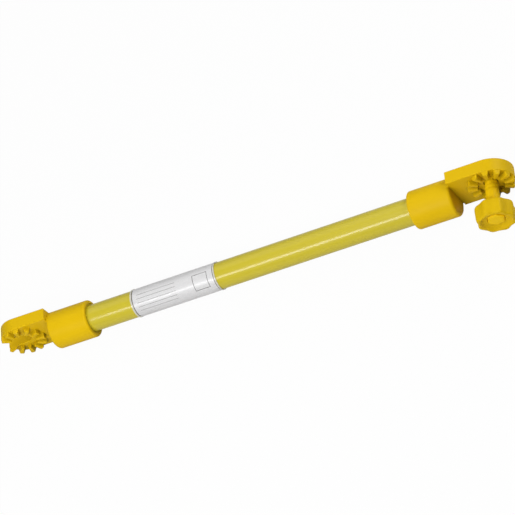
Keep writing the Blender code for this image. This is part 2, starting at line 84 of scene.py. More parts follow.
class Amount:
    """A socket that carries a number, a colour or a shader. Sums on it add their own nodes."""

    def __init__(self, nodes, socket):
        self.nodes = nodes
        self.socket = socket

    def sum(self, operation, first, second=0.0):
        """Add a Math node and hand back its result."""
        return self.nodes.node("ShaderNodeMath", {"operation": operation}, {0: first, 1: second})

    def __add__(self, other):
        return self.sum("ADD", self, other)

    def __sub__(self, other):
        return self.sum("SUBTRACT", self, other)

    def __rsub__(self, other):
        return self.sum("SUBTRACT", other, self)

    def __mul__(self, other):
        return self.sum("MULTIPLY", self, other)

    def __gt__(self, other):
        return self.sum("GREATER_THAN", self, other)

    def __lt__(self, other):
        return self.sum("LESS_THAN", self, other)

    def __abs__(self):
        return self.sum("ABSOLUTE", self)

    __radd__ = __add__
    __rmul__ = __mul__


class Nodes:
    """The nodes of one material or of the sky."""

    def __init__(self, tree):
        self.tree = tree

    def node(self, kind, settings=None, sockets=None, output=0):
        """Add a node, set it, feed its sockets and hand back one output."""
        node = self.tree.nodes.new(kind)
        for setting, value in (settings or {}).items():
            setattr(node, setting, value)
        for socket, value in (sockets or {}).items():
            self.feed(node.inputs[socket], value)
        return Amount(self, node.outputs[output])

    def feed(self, socket, value):
        """Link a socket to an amount, or set it to a plain value."""
        if isinstance(value, Amount):
            self.tree.links.new(value.socket, socket)
        else:
            socket.default_value = value


class Finish(Nodes):
    """One material, and what varies it over the surface."""

    def __init__(self, name):
        self.material = bpy.data.materials.new(name)
        self.material.use_nodes = True
        super().__init__(self.material.node_tree)
        self.shader = self.tree.nodes["Principled BSDF"]

    def surface(self, **values):
        """Set the shader's sockets, named with underscores for their spaces."""
        for socket, value in values.items():
            self.feed(self.shader.inputs[socket.replace("_", " ")], value)
        return self.material

    def place(self, stretch=(1, 1, 1), shift=(0, 0, 0)):
        """Where a point lies on the object in metres, times a stretch and moved by a shift."""
        where = self.node("ShaderNodeTexCoord", output="Object")
        sockets = {"Vector": where, "Scale": stretch, "Location": shift}
        return self.node("ShaderNodeMapping", sockets=sockets)

    def noise(self, size, detail=3.0, stretch=(1, 1, 1)):
        """Cloudy noise about 0.5 whose lumps have a size in metres."""
        sockets = {"Vector": self.place(stretch), "Scale": 1 / size, "Detail": detail}
        return self.node("ShaderNodeTexNoise", sockets=sockets)

    def mix(self, share, first, second):
        """Blend two colours by a share."""
        return self.node("ShaderNodeMix", {"data_type": "RGBA"}, {0: share, 6: first, 7: second}, output=2)

    def bump(self, height, depth):
        """Relief whose height of 1 stands for a depth in metres."""
        return self.node("ShaderNodeBump", sockets={"Height": height, "Distance": depth})


def white_floor():
    """Pale grey under the lamps, and white to the camera with a little of the shadow left in it."""
    floor = Finish("floor_white")
    floor.surface(Base_Color=floor_grey, Roughness=0.9, Specular_IOR_Level=0.0)
    lit = Amount(floor, floor.shader.outputs[0])
    glow = floor.node("ShaderNodeEmission", sockets={"Color": white, "Strength": 1.0})
    seen = floor.node("ShaderNodeLightPath", output="Is Camera Ray")
    blended = floor.node("ShaderNodeMixShader", sockets={0: seen * floor_shown_white, 1: lit, 2: glow})
    floor.feed(floor.tree.nodes["Material Output"].inputs["Surface"], blended)
    return floor.material


def studio_sky():
    """Dim all round, and white to the camera and partly in what gloss mirrors."""
    world = bpy.data.worlds.new("studio")
    world.use_nodes = True
    sky = Nodes(world.node_tree)
    dim = sky.tree.nodes["Background"]
    sky.feed(dim.inputs["Color"], white)
    sky.feed(dim.inputs["Strength"], sky_strength)
    lit = Amount(sky, dim.outputs[0])
    plain = sky.node("ShaderNodeBackground", sockets={"Color": white, "Strength": 1.0})
    seen = sky.node("ShaderNodeLightPath", output="Is Camera Ray")
    mirrored = sky.node("ShaderNodeLightPath", output="Is Glossy Ray")
    share = seen + mirrored * sky_white_in_gloss
    blended = sky.node("ShaderNodeMixShader", sockets={0: share, 1: lit, 2: plain})
    sky.feed(sky.tree.nodes["World Output"].inputs["Surface"], blended)
    return world


def soft_box(name, offset, aim, size, power):
    """Oblong lamp at an offset from the rod's middle, facing a point that far along the rod."""
    lamp = bpy.data.lights.new(name, "AREA")
    lamp.shape = "RECTANGLE"
    lamp.size, lamp.size_y = size
    lamp.energy = power
    holder = bpy.data.objects.new(name, lamp)
    toward = Vector((aim, 0, 0)) - Vector(offset)
    tipped = toward.to_track_quat("-Z", "Y").to_matrix().to_4x4()
    holder.matrix_world = Matrix.Translation(rod_middle + Vector(offset)) @ tipped
    bpy.context.collection.objects.link(holder)


bpy.ops.object.select_all(action="DESELECT")
bpy.ops.mesh.primitive_plane_add(size=floor_width, location=(0, 0, 0))
floor_sheet = bpy.context.object
floor_sheet.name = "floor"
floor_sheet.data.materials.append(white_floor())
bpy.context.scene.world = studio_sky()
soft_box("long_soft_box", offset=(-0.10, -0.55, 0.59), aim=-0.10, size=(0.80, 0.21), power=5.1)
soft_box("top_soft_box", offset=(0.03, -0.12, 0.80), aim=0.03, size=(0.30, 0.36), power=1.4)
soft_box("back_soft_box", offset=(-0.26, 0.45, 0.65), aim=-0.26, size=(1.00, 0.60), power=1.4)
soft_box("right_soft_box", offset=(0.65, 0.40, 0.30), aim=0.0, size=(0.30, 0.30), power=2.3)


# Tube
# A pultruded glass-fibre tube, 20 mm across, yellow-green under a clear resin skin. Its strands
# run the whole length, and its two ends are bonded deep in the heads.
tube_half_length = (tube_high.x - tube_low.x) / 2
tube_radius = (tube_high.z - tube_low.z) / 2
tube_wall = 0.0025
tube_steps = 144
fibre_deep = (0.54, 0.448, 0.016, 1)
fibre_bright = (0.63, 0.522, 0.027, 1)
merge_distance = 0.000001
smooth_angle = math.radians(32)


def new_bench():
    """Leave edit mode and let go of everything."""
    if bpy.context.object and bpy.context.object.mode == "EDIT":
        bpy.ops.object.mode_set(mode="OBJECT")
    bpy.ops.object.select_all(action="DESELECT")


def drawn(name, points):
    """Draw a line from point to point, edge by edge, and stay in edit mode."""
    new_bench()
    bpy.ops.mesh.primitive_plane_add(size=0.01)
    item = bpy.context.object
    item.name = name
    bpy.ops.object.mode_set(mode="EDIT")
    bpy.ops.mesh.select_mode(type="VERT")
    bpy.ops.mesh.select_all(action="SELECT")
    bpy.ops.mesh.merge(type="CENTER")
    here = Vector(points[0])
    bpy.ops.transform.translate(value=here)
    for point in points[1:]:
        there = Vector(point)
        bpy.ops.mesh.extrude_region_move(TRANSFORM_OT_translate={"value": there - here})
        here = there
    bpy.ops.mesh.select_all(action="SELECT")
    return item


def turned(name, profile, steps, axis=(1, 0, 0), sweep=2 * math.pi):
    """Draw a profile of (x, y) points and spin it about an axis through the origin."""
    item = drawn(name, [(*point, 0) for point in profile])
    bpy.ops.mesh.spin(steps=steps, angle=sweep, center=(0, 0, 0), axis=axis)
    bpy.ops.mesh.select_all(action="SELECT")
    bpy.ops.mesh.remove_doubles(threshold=merge_distance)
    bpy.ops.mesh.normals_make_consistent(inside=False)
    new_bench()
    return item


def set_down(item, name, place, material, body, node):
    """Smooth a finished piece, move it to its place in the frame and let it ride its body."""
    new_bench()
    item.name = name
    item.data.name = name
    item.data.transform(place @ item.matrix_world)
    item.matrix_world = Matrix.Identity(4)
    item.data.materials.clear()
    item.data.materials.append(material)
    bpy.context.view_layer.objects.active = item
    item.select_set(True)
    bpy.ops.object.shade_smooth_by_angle(angle=smooth_angle)
    even = item.modifiers.new("even", "WEIGHTED_NORMAL")
    even.keep_sharp = True
    bpy.ops.object.modifier_apply(modifier=even.name)
    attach(item, body)
    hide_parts(node)


def glass_fibre():
    """Yellow-green resin with the strands showing faintly below a glossy skin."""
    finish = Finish("glass_fibre")
    strands = finish.noise(0.0007, detail=4.0, stretch=(0.02, 1, 1))
    bundles = finish.noise(0.004, detail=2.0, stretch=(0.04, 1, 1))
    clouds = finish.noise(0.05, detail=2.0)
    tone = strands * 0.5 + bundles * 0.3 + clouds * 0.2
    return finish.surface(
        Base_Color=finish.mix(tone, fibre_deep, fibre_bright),
        Roughness=0.30 + strands * 0.10,
        Specular_IOR_Level=0.28,
        Coat_Weight=0.42,
        Coat_Roughness=0.10,
        Normal=finish.bump(bundles + strands * 0.3, depth=0.000012),
    )


tube_profile = [
    (-tube_half_length, tube_radius - tube_wall),
    (-tube_half_length, tube_radius),
    (tube_half_length, tube_radius),
    (tube_half_length, tube_radius - tube_wall),
    (-tube_half_length, tube_radius - tube_wall),
]
rod_place = Matrix.Translation(rod_middle)
tube_piece = turned("tube", tube_profile, tube_steps)
set_down(tube_piece, "glass_fibre_tube", rod_place, glass_fibre(), "rod", "tube")


# Foam core, plugs and plug rings
# Closed-cell foam fills the tube, between two plugs of the heads' nylon that each carry a rubber
# ring. All are pushed in and hidden, so these solids keep their shape and only get a finish.
foam_cell_size = 0.0008
foam_pale = (0.84, 0.80, 0.64, 1)
foam_dark = (0.62, 0.57, 0.42, 1)
rubber_black = (0.014, 0.014, 0.014, 1)
rubber_bloom = (0.035, 0.035, 0.034, 1)
head_dark = (0.71, 0.456, 0.002, 1)
head_bright = (0.81, 0.528, 0.004, 1)
# Painted shade: how strongly the heads' corners and hollows are darkened, the dark olive they go toward,
# and how far from a wall it reaches.
head_corner_shade = 1.1
corner_shade_colour = (0.16, 0.14, 0.004, 1)
corner_shade_reach = 0.018
scuff_limit = 0.66


def closed_cell_foam():
    """Pale foam with its cells showing."""
    finish = Finish("closed_cell_foam")
    sockets = {"Vector": finish.place(), "Scale": 1 / foam_cell_size}
    cells = finish.node("ShaderNodeTexVoronoi", sockets=sockets)
    return finish.surface(
        Base_Color=finish.mix(cells, foam_pale, foam_dark),
        Roughness=0.95,
        Normal=finish.bump(cells, depth=0.0001),
    )


def black_rubber():
    """Soft black rubber with a faint bloom."""
    finish = Finish("black_rubber")
    bloom = finish.noise(0.0015)
    return finish.surface(
        Base_Color=finish.mix(bloom, rubber_black, rubber_bloom),
        Roughness=0.6 + bloom * 0.25,
    )


def moulded_nylon(name, dark, bright, painted_shade_strength):
    """Satin yellow nylon with flow marks, mould grain and a few scuffs, and painted shade darkening its
    corners.
    """
    finish = Finish(name)
    clouds = finish.noise(0.02)
    swirl = finish.noise(0.003, detail=4.0)
    grain = finish.noise(0.0004, detail=2.0)
    rubbed = finish.noise(0.0009, stretch=(0.15, 1, 0.5))
    scuffs = (rubbed > scuff_limit) * (clouds > 0.5)
    clean = finish.mix(clouds * 0.7 + swirl * 0.3 - scuffs * 0.25, dark, bright)
    # Painted shade: an ambient occlusion reading darkens corners, gaps and hollows toward a dark olive,
    # standing in for the shade that falls there.
    sockets = {"Distance": corner_shade_reach}
    open_air = finish.node("ShaderNodeAmbientOcclusion", {"samples": 12}, sockets, output="AO")
    corner_shade_share = 1 - open_air
    return finish.surface(
        Base_Color=finish.mix(corner_shade_share * corner_shade_share * painted_shade_strength, clean, corner_shade_colour),
        Roughness=0.40 + swirl * 0.14 + scuffs * 0.12,
        Specular_IOR_Level=0.09,
        Normal=finish.bump(grain + swirl * 0.6, depth=0.00002),
    )


def finish_node(node, material):
    """Give a solid that stays as it is a new finish."""
    item = frame["nodes"][node]
    item.data.materials.clear()
    item.data.materials.append(material)


head_nylon = moulded_nylon("head_nylon", head_dark, head_bright, head_corner_shade)
rubber = black_rubber()
finish_node("foam_core", closed_cell_foam())
for side in ("left", "right"):
    finish_node(f"end_plug_{side}", head_nylon)
    finish_node(f"plug_ring_{side}", rubber)


# Moulded heads
# Each head is one nylon moulding, bonded on the tube: a sleeve, a flat tongue with a round end,
# and a ring of twelve wedge teeth. All edges that the mould leaves are a little round.
knob_joint = next(joint for joint in frame["joints"] if joint["name"] == "knob_turn")
clamp_centre = Vector(knob_joint["pos_m"])
socket_centre = Vector((2 * rod_middle.x - clamp_centre.x, clamp_centre.y, clamp_centre.z))
sleeve_to_centre = 0.0270
sleeve_radius = 0.0141
sleeve_length = 0.0327
sleeve_floor = 0.0032
sleeve_bore = tube_radius + 0.0003
sleeve_end_round = 0.0022
sleeve_lip_round = 0.0014
seal_wall = 0.0009
seal_seat_radius = sleeve_bore + seal_wall + 0.0003
seal_seat_depth = 0.0031
face_behind_axis = 0.0018
tongue_radius = clamp_centre.z
tongue_depth = 0.0098
tongue_root = 0.0003
tongue_back_round = 0.0008
tongue_front_round = 0.0005
tooth_count = 12
tooth_turn_in_pitches = 0.75
tooth_height = 0.0034
tooth_inner_radius = 0.0097
tooth_outer_radius = tongue_radius - 0.0003
tooth_root_angle = math.radians(18.4)
tooth_tip_angle = math.radians(11.2)
tooth_bury = 0.0006
tooth_round = 0.00055
sharp_angle = math.radians(25)
slot_half = 0.0054
slot_flare = 0.0022
screw_hole_radius = 0.0051
insert_seat_radius = 0.0089
insert_seat_depth = 0.0018


def edit(item):
    """Take one piece into edit mode."""
    new_bench()
    bpy.context.view_layer.objects.active = item
    item.select_set(True)
    bpy.ops.object.mode_set(mode="EDIT")


def pick(kind, wanted):
    """Select faces by a test on their middle, or edges by a test on both their corners."""
    bpy.ops.mesh.select_mode(type=kind)
    bpy.ops.mesh.select_all(action="DESELECT")
    shape = bmesh.from_edit_mesh(bpy.context.object.data)
    if kind == "EDGE":
        for side in shape.edges:
            side.select_set(all(wanted(corner.co) for corner in side.verts))
    else:
        for face in shape.faces:
            face.select_set(wanted(face.calc_center_median()))
    shape.select_flush_mode()
    bmesh.update_edit_mesh(bpy.context.object.data)


def pick_sharp_edges():
    """Select the edges that the piece is sharp at."""
    bpy.ops.mesh.select_all(action="DESELECT")
    bpy.ops.mesh.select_mode(type="EDGE")
    bpy.ops.mesh.edges_select_sharp(sharpness=sharp_angle)


def fillet(centre, radius, start, end, steps=4):
    """Points along a rounding, from one angle to another in degrees."""
    points = []
    for index in range(steps + 1):
        angle = math.radians(start + (end - start) * index / steps)
        points.append((centre[0] + radius * math.cos(angle), centre[1] + radius * math.sin(angle)))
    return points


def work(item, other, operation):
    """Cut a piece with a helper body or join them, and clear the helper away."""
    new_bench()
    bpy.context.view_layer.objects.active = item
    modifier = item.modifiers.new(operation.lower(), "BOOLEAN")
    modifier.operation = operation
    modifier.solver = "EXACT"
    modifier.object = other
    bpy.ops.object.modifier_apply(modifier=modifier.name)
    bpy.data.objects.remove(other)
    edit(item)
    bpy.ops.mesh.select_all(action="SELECT")
    bpy.ops.mesh.remove_doubles(threshold=merge_distance)
    bpy.ops.mesh.dissolve_degenerate(threshold=merge_distance)
    new_bench()


def copy_of(item):
    """A copy with a mesh of its own."""
    twin = item.copy()
    twin.data = item.data.copy()
    bpy.context.collection.objects.link(twin)
    return twin


def round_ended_block(name, radius, near, far, reach):
    """Disc about the screw's axis between two depths, one half drawn out straight to a reach."""
    new_bench()
    bpy.ops.mesh.primitive_cylinder_add(
        vertices=128, radius=radius, depth=far - near,
        location=(0, (near + far) / 2, 0), rotation=(math.pi / 2, 0, 0)
    )
    block = bpy.context.object
    block.name = name
    bpy.ops.object.transform_apply(location=True, rotation=True, scale=True)
    bpy.ops.object.mode_set(mode="EDIT")
    bpy.ops.mesh.select_all(action="SELECT")
    outward = reach > 0
    bpy.ops.mesh.bisect(
        plane_co=(0, 0, 0), plane_no=(1, 0, 0), use_fill=True,
        clear_inner=not outward, clear_outer=outward
    )
    pick("FACE", lambda middle: abs(middle.x) < merge_distance)
    bpy.ops.mesh.extrude_region_move(TRANSFORM_OT_translate={"value": (reach, 0, 0)})
    bpy.ops.mesh.select_all(action="SELECT")
    bpy.ops.mesh.normals_make_consistent(inside=False)
    new_bench()
    return block


def sleeve_body():
    """Turned sleeve, open at its mouth, with its end's edge rounded in front of the tongue only."""
    front = -sleeve_to_centre
    mouth = front - sleeve_length
    profile = [(front, 0), (front, sleeve_radius)]
    lip_centre = (mouth + sleeve_lip_round, sleeve_radius - sleeve_lip_round)
    profile += fillet(lip_centre, sleeve_lip_round, 90, 180, steps=6)
    profile += [(mouth, seal_seat_radius), (mouth + seal_seat_depth, seal_seat_radius)]
    profile += [(mouth + seal_seat_depth, sleeve_bore)]
    profile += [(front - sleeve_floor, sleeve_bore), (front - sleeve_floor, 0)]
    sleeve = turned("sleeve", profile, tube_steps)
    rim = sleeve_radius - merge_distance
    edit(sleeve)
    pick("EDGE", lambda corner: corner.x > front - merge_distance
         and math.hypot(corner.y, corner.z) > rim and corner.y < face_behind_axis)
    bpy.ops.mesh.bevel(offset=sleeve_end_round, segments=6, affect="EDGES")
    new_bench()
    sleeve.data.transform(Matrix.Translation((0, -face_behind_axis, 0)))
    return sleeve


def tongue_body():
    """Flat tongue with its back edge well rounded and its front edge just broken."""
    reach = -sleeve_to_centre - tongue_root
    tongue = round_ended_block("tongue", tongue_radius, 0, tongue_depth, reach)
    edit(tongue)
    pick("EDGE", lambda corner: corner.y > tongue_depth - merge_distance
         and corner.x > reach - merge_distance)
    bpy.ops.mesh.bevel(offset=tongue_back_round, segments=4, affect="EDGES")
    pick("EDGE", lambda corner: corner.y < merge_distance)
    bpy.ops.mesh.bevel(offset=tongue_front_round, segments=3, affect="EDGES")
    new_bench()
    return tongue


def tooth_body():
    """Wedge tooth on the outward side, its flanks aimed at the screw's axis, its crest rounded."""
    flank_slope = (tooth_root_angle - tooth_tip_angle) / 2 / tooth_height
    foot_angle = math.degrees(tooth_root_angle / 2 + flank_slope * tooth_bury)
    outline = fillet((0, 0), tooth_outer_radius, -foot_angle, foot_angle)
    outline += fillet((0, 0), tooth_inner_radius, foot_angle, -foot_angle, steps=1)
    outline += [outline[0]]
    tooth = drawn("tooth", [(x, tooth_bury, z) for x, z in outline])
    bpy.ops.mesh.remove_doubles(threshold=merge_distance)
    bpy.ops.mesh.edge_face_add()
    height = tooth_height + tooth_bury
    bpy.ops.mesh.extrude_region_move(TRANSFORM_OT_translate={"value": (0, -height, 0)})
    narrow = math.tan(tooth_tip_angle / 2) / math.tan(math.radians(foot_angle))
    bpy.ops.transform.resize(value=(1, 1, narrow), center_override=(0, 0, 0))
    bpy.ops.mesh.select_all(action="SELECT")
    bpy.ops.mesh.normals_make_consistent(inside=False)
    edit(tooth)
    pick_sharp_edges()
    shape = bmesh.from_edit_mesh(tooth.data)
    for side in shape.edges:
        if all(corner.co.y > tooth_bury - merge_distance for corner in side.verts):
            side.select_set(False)
    bmesh.update_edit_mesh(tooth.data)
    bpy.ops.mesh.bevel(offset=tooth_round, segments=4, affect="EDGES")
    new_bench()
    return tooth


def tooth_ring():
    """Twelve teeth, turned three quarters of a pitch so that like heads mesh in line."""
    pattern = tooth_body()
    ring = []
    for number in range(tooth_count):
        tooth = copy_of(pattern)
        angle = (number + tooth_turn_in_pitches) * 2 * math.pi / tooth_count
        tooth.data.transform(Matrix.Rotation(-angle, 4, "Y"))
        ring.append(tooth)
    bpy.data.objects.remove(pattern)
    new_bench()
    for tooth in ring:
        tooth.select_set(True)
    bpy.context.view_layer.objects.active = ring[0]
    bpy.ops.object.join()
    return ring[0]


def head_body(cutter, from_opening):
    """Sleeve, tongue and teeth joined, after tongue and teeth are cut for the screw."""
    tongue = tongue_body()
    teeth = tooth_ring()
    work(tongue, copy_of(cutter), "DIFFERENCE")
    on_the_wall = 5 * merge_distance
    edit(tongue)
    pick("EDGE", lambda corner: corner.y < merge_distance
         and abs(from_opening(corner)) < on_the_wall)
    bpy.ops.mesh.bevel(offset=tongue_front_round, segments=3, affect="EDGES")
    new_bench()
    work(teeth, cutter, "DIFFERENCE")
    head = sleeve_body()
    work(head, tongue, "UNION")
    work(head, teeth, "UNION")
    return head


def slot_cutter():
    """Open slot with a round bottom, flared at 45 degrees toward the back of the tongue."""
    reach = 2 * tongue_radius
    spare = slot_flare / 2
    near, far = tongue_depth - slot_flare - spare, tongue_depth + spare
    narrow, wide = slot_half - spare, slot_half + slot_flare + spare
    cutter = round_ended_block("slot", slot_half, -2 * tooth_height, far + tooth_height, reach)
    flare = round_ended_block("flare", narrow, near, far, reach)
    edit(flare)
    pick("FACE", lambda middle: middle.y > far - merge_distance)
    bpy.ops.transform.resize(value=(wide / narrow, 1, wide / narrow), center_override=(0, 0, 0))
    work(cutter, flare, "UNION")
    return cutter


def hole_cutter():
    """Screw hole with the shallow seat of the insert's flange in the back."""
    back = tongue_depth + tooth_height
    profile = [
        (-2 * tooth_height, 0),
        (-2 * tooth_height, screw_hole_radius),
        (tongue_depth - insert_seat_depth, screw_hole_radius),
        (tongue_depth - insert_seat_depth, insert_seat_radius),
        (back, insert_seat_radius),
        (back, 0),
    ]
    cutter = turned("hole", profile, steps=96)
    cutter.data.transform(Matrix.Rotation(math.pi / 2, 4, "Z"))
    return cutter


def from_slot(corner):
    """How far a corner lies outside the wall of the slot."""
    return math.hypot(min(corner.x, 0), corner.z) - slot_half


def from_hole(corner):
    """How far a corner lies outside the wall of the screw hole."""
    return math.hypot(corner.x, corner.z) - screw_hole_radius


clamp_place = Matrix.Translation(clamp_centre)
socket_place = Matrix.Translation(socket_centre) @ Matrix.Rotation(math.pi, 4, "Y")
clamp_head = head_body(hole_cutter(), from_hole)
set_down(clamp_head, "clamp_head_moulding", clamp_place, head_nylon, "rod", "clamp_head")
socket_head = head_body(slot_cutter(), from_slot)
set_down(socket_head, "socket_head_moulding", socket_place, head_nylon, "rod", "socket_head")


# Seals at the sleeve mouths
# An amber rubber ring is pressed into the step in each sleeve's mouth and grips the tube. It
# sits a touch inside the mouth, and the edges of its outward face are rounded.
seal_inset = 0.0002
seal_length = 0.0024
seal_inner = tube_radius + 0.00005
seal_outer = sleeve_bore + seal_wall + 0.00025
seal_round = 0.0003
seal_dark = (0.40, 0.290, 0.006, 1)
seal_bright = (0.52, 0.375, 0.009, 1)


def amber_seal():
    """Amber rubber, darker than the nylon and a little uneven."""
    finish = Finish("amber_seal")
    lumps = finish.noise(0.0012)
    return finish.surface(
        Base_Color=finish.mix(lumps, seal_dark, seal_bright),
        Roughness=0.5 + lumps * 0.2,
        Specular_IOR_Level=0.10,
        Normal=finish.bump(lumps, depth=0.00003),
    )


def seal_ring():
    """Ring about X, its outward face at the origin."""
    profile = [(seal_length, seal_inner), (seal_length, seal_outer)]
    profile += fillet((seal_round, seal_outer - seal_round), seal_round, 90, 180)
    profile += fillet((seal_round, seal_inner + seal_round), seal_round, 180, 270)
    profile += [(seal_length, seal_inner)]
    return turned("seal", profile, steps=128)


seal_material = amber_seal()
for side, direction in (("left", -1), ("right", 1)):
    centre = clamp_centre if direction > 0 else socket_centre
    mouth_x = centre.x - direction * (sleeve_to_centre + sleeve_length - seal_inset)
    place = Matrix.Translation((mouth_x, rod_middle.y, rod_middle.z))
    if direction < 0:
        place = place @ Matrix.Rotation(math.pi, 4, "Z")
    set_down(seal_ring(), f"sealing_ring_{side}", place, seal_material, "rod", f"mouth_seal_{side}")


# Label and its clear film
# A silver film stuck most of the way round the tube, with a thin dark frame, ruled blank lines
# and an empty box, under a clear film that reaches past it and looks frosty on the tube.
label_low, label_high = (Vector(corner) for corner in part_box("label_film"))
clear_low, clear_high = (Vector(corner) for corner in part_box("label_laminate"))
label_left = label_low.x - rod_middle.x
label_right = label_high.x - rod_middle.x
label_middle_angle = math.radians(-148)
label_facing = Vector((0, math.sin(label_middle_angle), -math.cos(label_middle_angle)))
label_upward = Vector((0, label_facing.z, -label_facing.y))
label_wrap = math.radians(286)
clear_wrap = label_wrap + 2 * (clear_high.x - label_high.x) / tube_radius
film_thickness = 0.00013
ink = 0.0004
frame_inset = 0.0002
ruled_rows = 5
ruled_top = 0.0058
ruled_pitch = 0.0030
ruled_ink = ink * 0.6
ruled_left = label_left + 0.004
ruled_right = label_left + 0.036
box_left = label_right - 0.017
box_right = label_right - 0.005
box_foot = -0.0055
box_top = 0.0065
silver_dark = (0.68, 0.675, 0.69, 1)
silver_bright = (0.76, 0.755, 0.77, 1)
print_dark = (0.055, 0.050, 0.055, 1)
frosty_grey = (0.80, 0.79, 0.72, 1)


def film_sheet(name, low, high, wrap):
    """Open tube of film with a strip cut away at the back, and then given its thickness."""
    new_bench()
    bpy.ops.mesh.primitive_cylinder_add(
        vertices=240, radius=(high.z - rod_middle.z) - film_thickness, depth=high.x - low.x,
        end_fill_type="NOTHING",
        location=((low.x + high.x) / 2 - rod_middle.x, 0, 0), rotation=(0, math.pi / 2, 0)
    )
    sheet = bpy.context.object
    sheet.name = name
    bpy.ops.object.transform_apply(location=True, rotation=True, scale=True)
    edit(sheet)
    edge_cosine = math.cos(wrap / 2)
    pick("FACE", lambda middle:
         Vector((0, middle.y, middle.z)).normalized().dot(label_facing) < edge_cosine)
    bpy.ops.mesh.delete(type="FACE")
    new_bench()
    bpy.context.view_layer.objects.active = sheet
    solid = sheet.modifiers.new("thickness", "SOLIDIFY")
    solid.thickness = film_thickness
    solid.offset = 1
    bpy.ops.object.modifier_apply(modifier=solid.name)
    return sheet


def unrolled(finish):
    """The film laid flat: metres along the rod and metres round it from its middle line."""
    where = finish.place(shift=-rod_middle)
    along = finish.node("ShaderNodeSeparateXYZ", sockets={0: where}, output="X")
    product = {"operation": "DOT_PRODUCT"}
    facing = finish.node("ShaderNodeVectorMath", product, {0: where, 1: label_facing}, output="Value")
    upward = finish.node("ShaderNodeVectorMath", product, {0: where, 1: label_upward}, output="Value")
    return along, along.sum("ARCTAN2", upward, facing) * tube_radius


def between(value, low, high):
    """1 where a value lies between two limits."""
    return (value > low) * (value < high)


def silver_film():
    """Brushed silver film with its printed frame, lines and box."""
    finish = Finish("silver_film")
    along, round_it = unrolled(finish)
    frame_edge = frame_inset + ink
    lines = (along < label_left + frame_edge) + (along > label_right - frame_edge)
    lines = lines + (abs(round_it) > label_wrap / 2 * tube_radius - frame_edge)
    for row in range(ruled_rows):
        foot = ruled_top - ruled_pitch * row
        lines = lines + between(round_it, foot, foot + ruled_ink) * between(along, ruled_left, ruled_right)
    outside = between(along, box_left, box_right) * between(round_it, box_foot, box_top)
    inside = between(along, box_left + ink, box_right - ink)
    inside = inside * between(round_it, box_foot + ink, box_top - ink)
    printed = lines + (outside - inside) > 0.5
    brushed = finish.noise(0.0003, detail=2.0, stretch=(0.05, 1, 1))
    clouds = finish.noise(0.012)
    silver = finish.mix(brushed * 0.5 + clouds * 0.5, silver_dark, silver_bright)
    return finish.surface(
        Base_Color=finish.mix(printed, silver, print_dark),
        Metallic=0.10 * (1 - printed),
        Roughness=0.42 + clouds * 0.10,
        Specular_IOR_Level=0.35,
        Coat_Weight=0.36,
        Coat_Roughness=0.09,
        Normal=finish.bump(clouds, depth=0.00006),
    )


def clear_film():
    """Clear film, nearly unseen over the label and frosty past its ends."""
    finish = Finish("clear_film")
    along, _ = unrolled(finish)
    beyond = (along < label_left) + (along > label_right)
    clouds = finish.noise(0.003, detail=2.0)
    return finish.surface(
        Base_Color=frosty_grey,
        Roughness=0.18,
        Alpha=0.05 + beyond * (0.45 + clouds * 0.25),
    )


silver_sheet = film_sheet("silver", label_low, label_high, label_wrap)
set_down(silver_sheet, "label_sheet", rod_place, silver_film(), "rod", "label_film")
clear_sheet = film_sheet("clear", clear_low, clear_high, clear_wrap)
set_down(clear_sheet, "label_clear_film", rod_place, clear_film(), "rod", "label_laminate")


# Threaded insert and retaining ring
# A brass bush moulded into the back of the clamp head takes the screw, and an open ring of spring
# steel, snapped in a groove on the screw's tail, stops it from being turned right out.
screw_radius = 0.00465
insert_length = 0.0058
insert_bore = screw_radius + 0.0003
insert_radius = 0.0068
insert_flange = 0.0086
insert_flange_thickness = 0.0015
insert_round = 0.0003
ring_near = 0.0131
ring_thickness = 0.0011
ring_inner = 0.00405
ring_outer = 0.0070
ring_round = 0.0002
ring_gap = math.radians(64)
tool_marks_per_metre = 9000
brass_dark = (0.50, 0.31, 0.08, 1)
brass_bright = (0.72, 0.50, 0.17, 1)
steel_dark = (0.20, 0.20, 0.21, 1)
steel_bright = (0.42, 0.42, 0.43, 1)


def turned_metal(name, dark, bright, roughness):
    """Turned metal with fine rings from the tool about the screw's axis."""
    finish = Finish(name)
    where = finish.place(shift=-clamp_centre)
    flat = finish.node("ShaderNodeVectorMath", {"operation": "MULTIPLY"}, {0: where, 1: (1, 0, 1)})
    radius = finish.node("ShaderNodeVectorMath", {"operation": "LENGTH"}, {0: flat}, output="Value")
    sockets = {"W": radius * tool_marks_per_metre, "Detail": 3.0}
    rings = finish.node("ShaderNodeTexNoise", {"noise_dimensions": "1D"}, sockets)
    stains = finish.noise(0.002, detail=4.0)
    return finish.surface(
        Base_Color=finish.mix(rings * 0.5 + stains * 0.5, dark, bright),
        Metallic=1.0,
        Roughness=roughness + stains * 0.15,
        Normal=finish.bump(rings, depth=0.00001),
    )


def insert_body():
    """Flanged bush with its edges broken."""
    back = tongue_depth
    front = back - insert_length
    profile = [(insert_bore, front), (insert_bore, back - insert_round), (insert_bore + insert_round, back)]
    profile += fillet((insert_flange - insert_round, back - insert_round), insert_round, 90, 0)
    under_flange = back - insert_flange_thickness
    profile += [(insert_flange, under_flange), (insert_radius, under_flange)]
    profile += [(insert_radius, front), (insert_bore, front)]
    return turned("insert", profile, steps=96, axis=(0, 1, 0))


def ring_body():
    """Open ring with rounded edges and closed ends."""
    low = ring_near + ring_round
    high = ring_near + ring_thickness - ring_round
    profile = fillet((ring_outer - ring_round, high), ring_round, 0, 90, steps=3)
    profile += fillet((ring_inner + ring_round, high), ring_round, 90, 180, steps=3)
    profile += fillet((ring_inner + ring_round, low), ring_round, 180, 270, steps=3)
    profile += fillet((ring_outer - ring_round, low), ring_round, 270, 360, steps=3)
    profile += [profile[0]]
    ring = turned("ring", profile, steps=72, axis=(0, 1, 0), sweep=2 * math.pi - ring_gap)
    edit(ring)
    bpy.ops.mesh.select_all(action="SELECT")
    bpy.ops.mesh.fill_holes(sides=0)
    bpy.ops.mesh.normals_make_consistent(inside=False)
    new_bench()
    return ring


